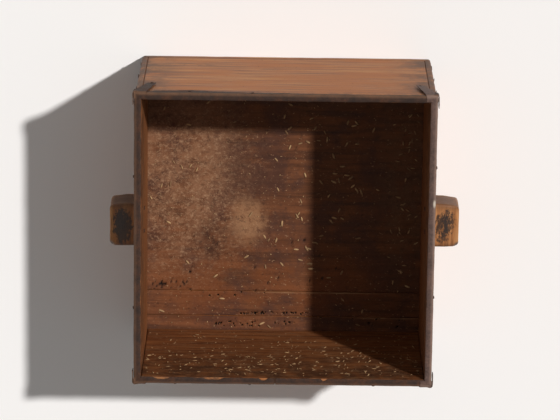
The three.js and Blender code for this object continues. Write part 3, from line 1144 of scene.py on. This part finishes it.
def cornerTab(sy, sx):  # the end iron's flange, wrapped round the upright corner
    face = ironFace + tabShape["proud"]
    turn = tabShape["turn"]
    path = [(face - tabShape["root"], face - tabShape["under"], 0)]
    for angle in (0, 30, 60, 90):
        a = math.radians(angle)
        path.append((face - turn + turn * math.sin(a), face - turn + turn * math.cos(a), angle))
    path += [(face, face - tabShape["length"] * share, 90) for share in (0.4, 0.6, 0.8, 1.0)]
    outer = []
    inner = []
    for x, y, angle in path:
        a = math.radians(angle)
        away = Vector((sx * math.sin(a), sy * math.cos(a), 0))
        columnOut = []
        columnIn = []
        for i in range(tabShape["rows"] + 1):
            down = tabShape["top"] + (tabShape["bottom"] - tabShape["top"]) * i / tabShape["rows"]
            down += tabShape["ragged"] * noise.noise(Vector((x * 300, y * 300, sx + 2 * sy)))
            spot = Vector((sx * x, sy * y, ironTop - down))
            columnOut.append(spot)
            columnIn.append(spot - away * sheet["thick"])
        outer.append(columnOut)
        inner.append(columnIn)
    return thickSheet(outer, inner)


def ironPiece(node, plates, iron=rimSheet):
    made = bmesh.new()
    for points, faces in plates:
        corners = [made.verts.new(hammered(p)) for p in points]
        for face in faces:
            made.faces.new([corners[i] for i in face])
    bmesh.ops.recalc_face_normals(made, faces=made.faces)
    points = [v.co.copy() for v in made.verts]
    made.verts.index_update()
    faces = [[v.index for v in face.verts] for face in made.faces]
    made.free()
    piece = pieceFrom("hammered_" + node, points, faces, [iron], [node])
    piece.data.set_sharp_from_angle(angle=math.radians(50))


sideEnd = ironFace + sheet["overhang"] - sheet["cornerGap"]
stripEnd = ironFace - sheet["endShort"]
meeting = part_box("rim_iron_back_left")[1].x
for side, sx in sideNames.items():
    plates = [rimStrip(side, -sideEnd, sideEnd, 0)]
    for sy in endNames.values():
        plates.append(cornerTongue(sy, sx, tongueShape["lift"][side]))
    # the left iron, on the lamp's side, takes the painted-light copy of the sheet
    ironPiece(f"rim_iron_{side}", plates, rimSheet if sx > 0 else litAndLimeSheet)
tuck = sheet["tuck"]
frontStrip = rimStrip("front", -stripEnd, stripEnd, tuck)
ironPiece("rim_iron_front", [frontStrip, cornerTab(-1, -1), cornerTab(-1, 1)])
ironPiece("rim_iron_back_left", [rimStrip("back", -stripEnd, meeting, tuck), cornerTab(1, -1)])
rightStrip = rimStrip("back", meeting + sheet["meetingGap"], stripEnd, tuck)
ironPiece("rim_iron_back_right", [rightStrip, cornerTab(1, 1)])
print("rim irons are folded")


# Nails and rice husks are scattered by geometry nodes


def finishNodes(tree, shape, material):
    real = add(tree, "GeometryNodeRealizeInstances", {0: shape})
    smooth = add(tree, "GeometryNodeSetShadeSmooth", {0: real.outputs[0]})
    dressed = add(tree, "GeometryNodeSetMaterial", {0: smooth.outputs[0], "Material": material})
    add(tree, "NodeGroupOutput", {0: dressed.outputs[0]})


def startNodes(name, inputs):
    tree = bpy.data.node_groups.new(name, "GeometryNodeTree")
    tree.interface.new_socket("Geometry", in_out="INPUT", socket_type="NodeSocketGeometry")
    sockets = {}
    for label, kind in inputs.items():
        sockets[label] = tree.interface.new_socket(label, in_out="INPUT", socket_type=kind).identifier
    tree.interface.new_socket("Geometry", in_out="OUTPUT", socket_type="NodeSocketGeometry")
    return tree, sockets, add(tree, "NodeGroupInput")


def grownMesh(name, carrier, tree, values):  # runs the tree on the carrier and keeps only the result
    source = link(bpy.data.objects.new(name + "_carrier", carrier))
    modifier = source.modifiers.new(name, "NODES")
    modifier.node_group = tree
    for identifier, value in values.items():
        modifier[identifier] = value
    graph = bpy.context.evaluated_depsgraph_get()
    mesh = bpy.data.meshes.new_from_object(source.evaluated_get(graph), depsgraph=graph)
    source.modifiers.remove(modifier)
    bpy.data.objects.remove(source)
    bpy.data.meshes.remove(carrier)
    return link(bpy.data.objects.new(name, mesh))


nailLook = {"seat": 0.36, "oval": 0.92, "tilt": 0.12, "seed": 11}


def nailTree():
    inputs = {"Dome": "NodeSocketFloat", "Seed": "NodeSocketInt"}
    tree, sockets, given = startNodes("forged_heads", inputs)
    ball = add(tree, "GeometryNodeMeshUVSphere", {"Segments": 9, "Rings": 6, "Radius": 1.0})
    dome = add(tree, "ShaderNodeCombineXYZ", {0: 1.0, 1: nailLook["oval"], 2: given.outputs["Dome"]})
    head = add(tree, "GeometryNodeTransform", {0: ball.outputs["Mesh"], "Scale": dome.outputs[0]})
    facing = add(tree, "GeometryNodeInputNamedAttribute", {"Name": "facing"}, data_type="FLOAT_VECTOR")
    size = add(tree, "GeometryNodeInputNamedAttribute", {"Name": "size"}, data_type="FLOAT")
    turn = add(tree, "FunctionNodeAlignRotationToVector", {"Vector": facing.outputs[0]}, axis="Z")
    placed = add(
        tree,
        "GeometryNodeInstanceOnPoints",
        {
            "Points": given.outputs["Geometry"],
            "Instance": head.outputs[0],
            "Rotation": turn.outputs[0],
            "Scale": size.outputs[0],
        },
    )
    spin = add(
        tree,
        "FunctionNodeRandomValue",
        {
            0: (-nailLook["tilt"], -nailLook["tilt"], 0.0),
            1: (nailLook["tilt"], nailLook["tilt"], 6.28),
            "Seed": given.outputs["Seed"],
        },
        data_type="FLOAT_VECTOR",
    )
    spun = add(tree, "GeometryNodeRotateInstances", {0: placed.outputs[0], "Rotation": spin.outputs[0]})
    finishNodes(tree, spun.outputs[0], nailIron)
    return tree, sockets


def nailFacing(node):  # which way the head looks, told by the nail's name
    words = node.split("_")
    ways = {"right": (1, 0, 0), "left": (-1, 0, 0), "front": (0, -1, 0), "back": (0, 1, 0)}
    if words[0] == "floor":
        return Vector((0, 0, -1))
    if words[0] == "handle":
        return -Vector(ways[words[2]])
    if words[0] in ("joint", "tab"):
        return Vector(ways[words[3]])
    return Vector(ways[words[2]])


nailKinds = {  # what each group is called, and how round its heads are
    "joint_nail": ("corner_nails", 0.13),
    "floor_nail": ("bottom_nails", 0.36),
    "handle_nail": ("handle_nails", 0.3),
    "tongue_tack": ("tongue_tacks", 0.36),
    "tab_tack": ("tab_tacks", 0.36),
    "edge_tack": ("edge_tacks", 0.36),
}
heads, headSockets = nailTree()
for kind, (name, dome) in nailKinds.items():
    nodes = sorted(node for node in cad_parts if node.startswith(kind))
    spots = []
    facings = []
    sizes = []
    for node in nodes:
        low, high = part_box(node)
        facing = nailFacing(node)
        axis = max(range(3), key=lambda i: abs(facing[i]))
        radius = min(high[i] - low[i] for i in range(3) if i != axis) / 2
        spot = (low + high) / 2
        spot[axis] = high[axis] if facing[axis] > 0 else low[axis]
        spots.append(spot - facing * radius * nailLook["seat"])
        facings.append(facing)
        sizes.append(radius)
    carrier = bpy.data.meshes.new(name)
    carrier.from_pydata(spots, [], [])
    carrier.attributes.new("facing", "FLOAT_VECTOR", "POINT").data.foreach_set(
        "vector", [c for facing in facings for c in facing]
    )
    carrier.attributes.new("size", "FLOAT", "POINT").data.foreach_set("value", sizes)
    values = {headSockets["Dome"]: dome, headSockets["Seed"]: nailLook["seed"]}
    piece = grownMesh(name, carrier, heads, values)
    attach(piece, "root")
    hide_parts(*nodes)
print("nails are driven")


huskShape = {"thin": 0.55, "sizes": (0.75, 1.12), "tilt": 0.15}


def huskTree():
    inputs = {
        "Per square metre": "NodeSocketFloat",
        "Length": "NodeSocketFloat",
        "Width": "NodeSocketFloat",
        "Seed": "NodeSocketInt",
    }
    tree, sockets, given = startNodes("scattered_husks", inputs)
    points = add(
        tree,
        "GeometryNodeDistributePointsOnFaces",
        {
            "Mesh": given.outputs["Geometry"],
            "Density": given.outputs["Per square metre"],
            "Seed": given.outputs["Seed"],
        },
    )
    ball = add(tree, "GeometryNodeMeshUVSphere", {"Segments": 6, "Rings": 6, "Radius": 0.5})
    thin = add(
        tree,
        "ShaderNodeMath",
        {0: given.outputs["Width"], 1: huskShape["thin"]},
        operation="MULTIPLY",
    )
    shape = add(
        tree,
        "ShaderNodeCombineXYZ",
        {0: given.outputs["Width"], 1: thin.outputs[0], 2: given.outputs["Length"]},
    )
    long = add(tree, "GeometryNodeTransform", {0: ball.outputs["Mesh"], "Scale": shape.outputs[0]})
    lying = add(
        tree,
        "GeometryNodeTransform",
        {0: long.outputs[0], "Rotation": (math.pi / 2, 0, 0)},
    )
    size = add(
        tree,
        "FunctionNodeRandomValue",
        {2: huskShape["sizes"][0], 3: huskShape["sizes"][1], "Seed": given.outputs["Seed"]},
        data_type="FLOAT",
    )
    placed = add(
        tree,
        "GeometryNodeInstanceOnPoints",
        {
            "Points": points.outputs["Points"],
            "Instance": lying.outputs[0],
            "Rotation": points.outputs["Rotation"],
            "Scale": size.outputs[1],
        },
    )
    spin = add(
        tree,
        "FunctionNodeRandomValue",
        {
            0: (-huskShape["tilt"], -huskShape["tilt"], 0.0),
            1: (huskShape["tilt"], huskShape["tilt"], 6.28),
            "Seed": given.outputs["Seed"],
        },
        data_type="FLOAT_VECTOR",
    )
    spun = add(tree, "GeometryNodeRotateInstances", {0: placed.outputs[0], "Rotation": spin.outputs[0]})
    finishNodes(tree, spun.outputs[0], huskStraw)
    return tree, sockets


scatter, scatterSockets = huskTree()
reachIn = innerHalf - 2.5 * mm  # husks keep this far from the corners, so that none pokes through a board
wallFace = innerHalf - 0.15 * mm
floorFace = floorTop + 0.25 * mm
# Where husks have stuck: two corners of each patch in metres, which are x and y on the bottom and x and z
# on the back board, then how many lie on a square metre, and how long and wide they are in mm
huskPatches = {
    "husks_on_bottom": {
        "on": "bottom", "low": (-reachIn, -reachIn), "high": (reachIn, reachIn),
        "density": 620, "length": 6.6, "width": 2.3, "seed": 3,
    },
    "husks_on_middle_of_bottom": {
        "on": "bottom", "low": (-0.09, -0.1), "high": (0.02, 0.1),
        "density": 1700, "length": 6.8, "width": 2.4, "seed": 8,
    },
    "husks_by_left_wall": {
        "on": "bottom", "low": (-reachIn, -0.14), "high": (-0.12, 0.09),
        "density": 5200, "length": 5.2, "width": 1.5, "seed": 14,
    },
    "chaff_on_bottom": {
        "on": "bottom", "low": (-reachIn, -reachIn), "high": (reachIn, reachIn),
        "density": 2600, "length": 2.0, "width": 1.0, "seed": 5,
    },
    "husks_on_back_board": {
        "on": "back", "low": (-reachIn, 0.03), "high": (reachIn, 0.12),
        "density": 1500, "length": 5.6, "width": 1.8, "seed": 21,
    },
    "husks_by_back_rim": {
        "on": "back", "low": (-reachIn, 0.11), "high": (reachIn, 0.18),
        "density": 5200, "length": 4.8, "width": 1.6, "seed": 31,
    },
    "chaff_on_back_board": {
        "on": "back", "low": (-reachIn, 0.02), "high": (reachIn, 0.185),
        "density": 4500, "length": 2.2, "width": 1.0, "seed": 26,
    },
}


def patchCorners(patch):
    left, near = patch["low"]
    right, far = patch["high"]
    if patch["on"] == "bottom":
        corners = [(left, near), (right, near), (right, far), (left, far)]
        return [(x, y, floorFace) for x, y in corners]
    corners = [(right, near), (left, near), (left, far), (right, far)]
    return [(x, wallFace, z) for x, z in corners]


for name, patch in huskPatches.items():
    carrier = bpy.data.meshes.new(name)
    carrier.from_pydata(patchCorners(patch), [], [(0, 1, 2, 3)])
    values = {
        scatterSockets["Per square metre"]: float(patch["density"]),
        scatterSockets["Length"]: patch["length"] * mm,
        scatterSockets["Width"]: patch["width"] * mm,
        scatterSockets["Seed"]: patch["seed"],
    }
    husks = grownMesh(name, carrier, scatter, values)
    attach(husks, "root")
print("rice husks and chaff are scattered")
